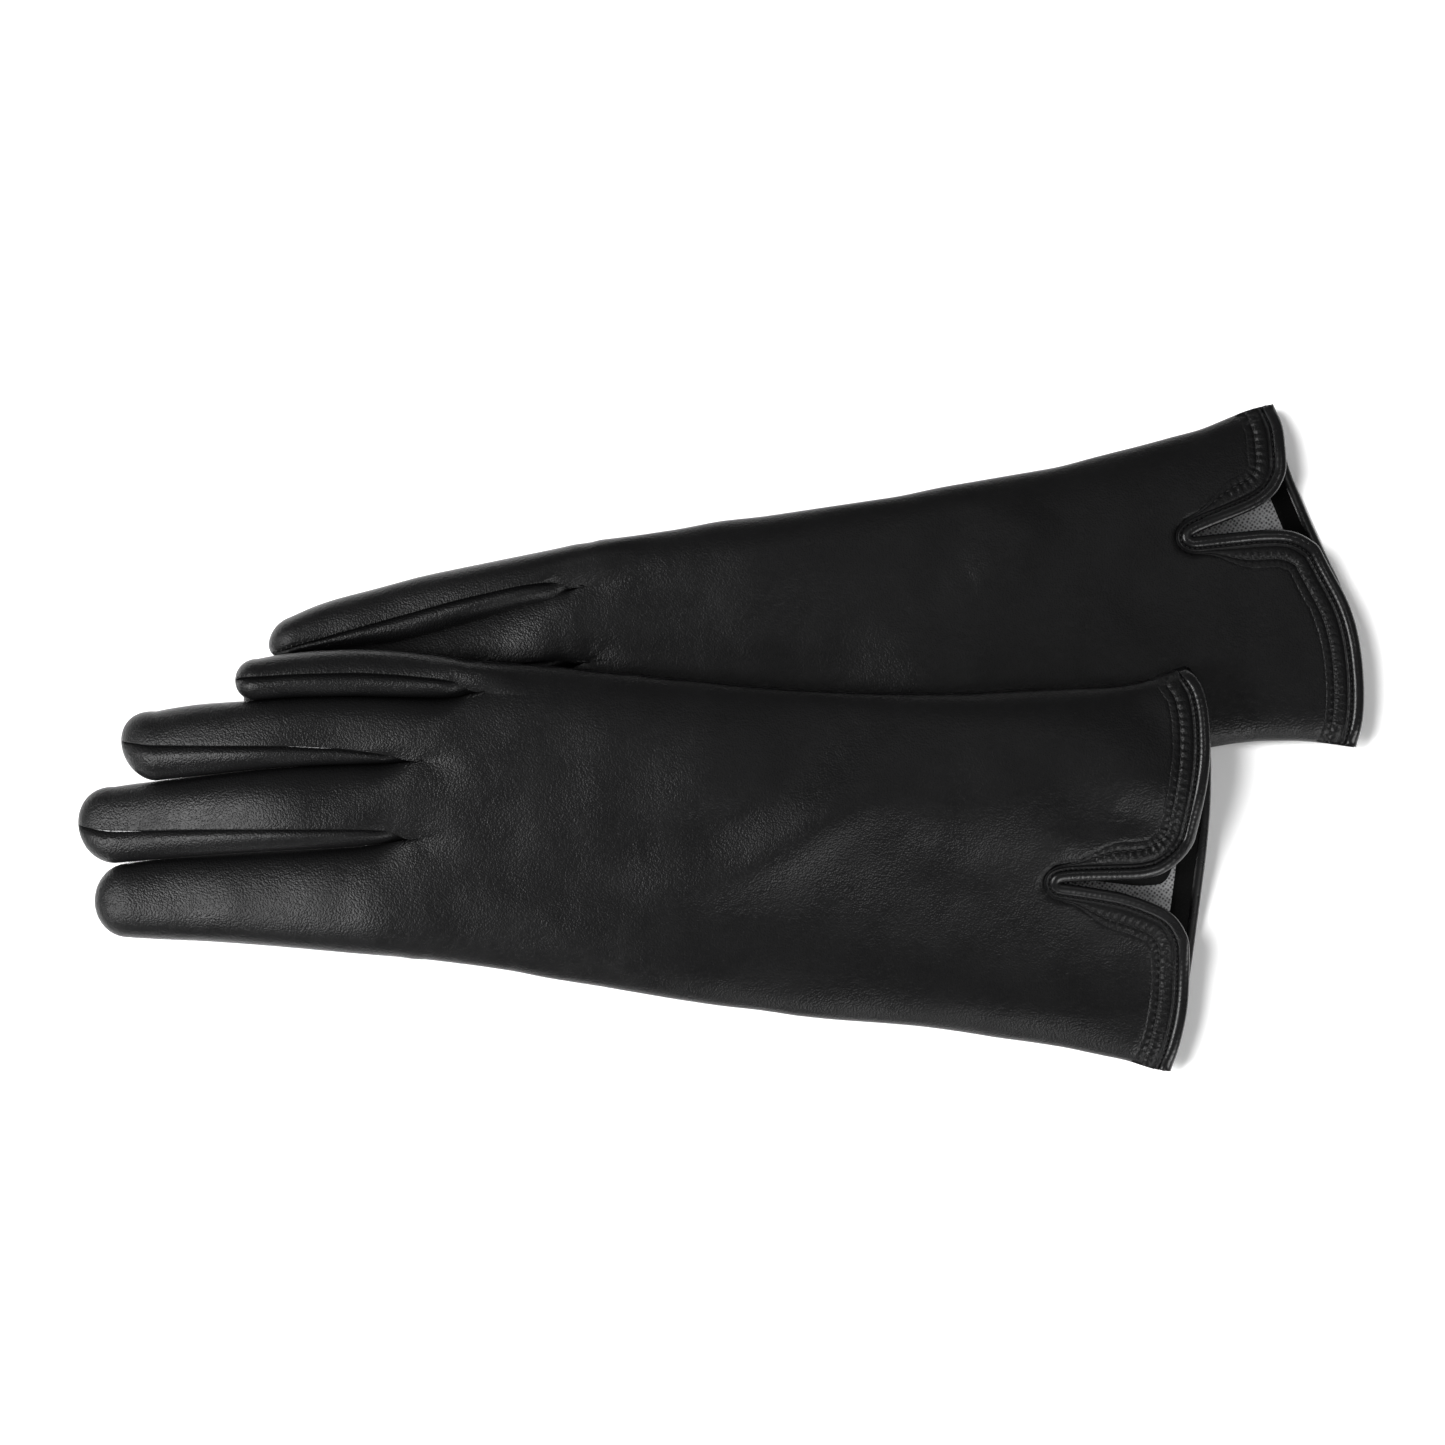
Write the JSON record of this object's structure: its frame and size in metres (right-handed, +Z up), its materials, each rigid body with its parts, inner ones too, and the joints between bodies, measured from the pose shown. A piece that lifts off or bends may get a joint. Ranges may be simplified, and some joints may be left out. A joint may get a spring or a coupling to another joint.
{
  "type": "pair of leather gloves",
  "caption": "Pair of slim black leather dress gloves with knitted lining, bound cuffs and a cuff vent, the right glove lying on the left.",
  "frame": {"origin": "middle of the pair, on the surface that it lies on", "axes": "+X from the fingertips towards the cuffs, the pair's longest extent; +Y from the right glove towards the left one; +Z up"},
  "size_m": [0.3216, 0.1663, 0.0236],
  "materials": {
    "glove_leather": "satin",
    "binding_leather": "satin",
    "facing_leather": "matte",
    "lining_knit": "matte",
    "thread": "satin"
  },
  "bodies": {
    "right_hand": {"right_back_panel": "glove_leather", "right_palm_panel": "glove_leather", "right_quirks": "glove_leather", "right_cuff_binding": "binding_leather", "right_cuff_facing": "facing_leather", "right_cuff_topstitch": "thread", "right_hand_lining": "lining_knit"},
    "right_index": {"right_index_back": "glove_leather", "right_index_palm": "glove_leather", "right_index_fourchette": "glove_leather", "right_index_lining": "lining_knit"},
    "right_middle": {"right_middle_back": "glove_leather", "right_middle_palm": "glove_leather", "right_middle_fourchettes": "glove_leather", "right_middle_lining": "lining_knit"},
    "right_ring": {"right_ring_back": "glove_leather", "right_ring_palm": "glove_leather", "right_ring_fourchettes": "glove_leather", "right_ring_lining": "lining_knit"},
    "right_little": {"right_little_back": "glove_leather", "right_little_palm": "glove_leather", "right_little_fourchette": "glove_leather", "right_little_lining": "lining_knit"},
    "right_thumb": {"right_thumb": "glove_leather", "right_thumb_lining": "lining_knit"},
    "left_hand": {"left_back_panel": "glove_leather", "left_palm_panel": "glove_leather", "left_quirks": "glove_leather", "left_cuff_binding": "binding_leather", "left_cuff_facing": "facing_leather", "left_cuff_topstitch": "thread", "left_hand_lining": "lining_knit", "left_middle_back": "glove_leather", "left_middle_palm": "glove_leather", "left_middle_fourchettes": "glove_leather", "left_middle_lining": "lining_knit", "left_ring_back": "glove_leather", "left_ring_palm": "glove_leather", "left_ring_fourchettes": "glove_leather", "left_ring_lining": "lining_knit", "left_little_back": "glove_leather", "left_little_palm": "glove_leather", "left_little_fourchette": "glove_leather", "left_little_lining": "lining_knit"},
    "left_index": {"left_index_back": "glove_leather", "left_index_palm": "glove_leather", "left_index_fourchette": "glove_leather", "left_index_lining": "lining_knit"},
    "left_thumb": {"left_thumb": "glove_leather", "left_thumb_lining": "lining_knit"}
  },
  "joints": [
    {"name": "right_glove_lift", "type": "slide", "parent": "left_hand", "child": "right_hand", "axis": [0, 0, 1], "range_m": [0, 0.15]},
    {"name": "right_index_fold", "type": "hinge", "parent": "right_hand", "child": "right_index", "pos_m": [-0.0754, -0.04, 0.0196], "axis": [-0.0148, 0.9999, 0], "range_deg": [0, 60]},
    {"name": "right_middle_fold", "type": "hinge", "parent": "right_hand", "child": "right_middle", "pos_m": [-0.0749, -0.0156, 0.0218], "axis": [-0.058, 0.9983, 0], "range_deg": [0, 60]},
    {"name": "right_ring_fold", "type": "hinge", "parent": "right_hand", "child": "right_ring", "pos_m": [-0.0744, 0.0021, 0.0224], "axis": [-0.0399, 0.9992, 0], "range_deg": [0, 60]},
    {"name": "right_little_fold", "type": "hinge", "parent": "right_hand", "child": "right_little", "pos_m": [-0.0596, 0.0149, 0.0236], "axis": [0.0116, 0.9999, 0], "range_deg": [0, 60]},
    {"name": "left_index_fold", "type": "hinge", "parent": "left_hand", "child": "left_index", "pos_m": [-0.0384, 0.0432, 0.0194], "axis": [-0.2358, 0.9718, 0], "range_deg": [0, 60]},
    {"name": "right_thumb_swing", "type": "hinge", "parent": "right_hand", "child": "right_thumb", "pos_m": [-0.027, -0.0485, 0.0062], "axis": [0, 0, 1], "range_deg": [0, 70]},
    {"name": "left_thumb_swing", "type": "hinge", "parent": "left_hand", "child": "left_thumb", "pos_m": [0.0115, 0.0433, 0.0062], "axis": [0, 0, -1], "range_deg": [0, 70]}
  ]
}
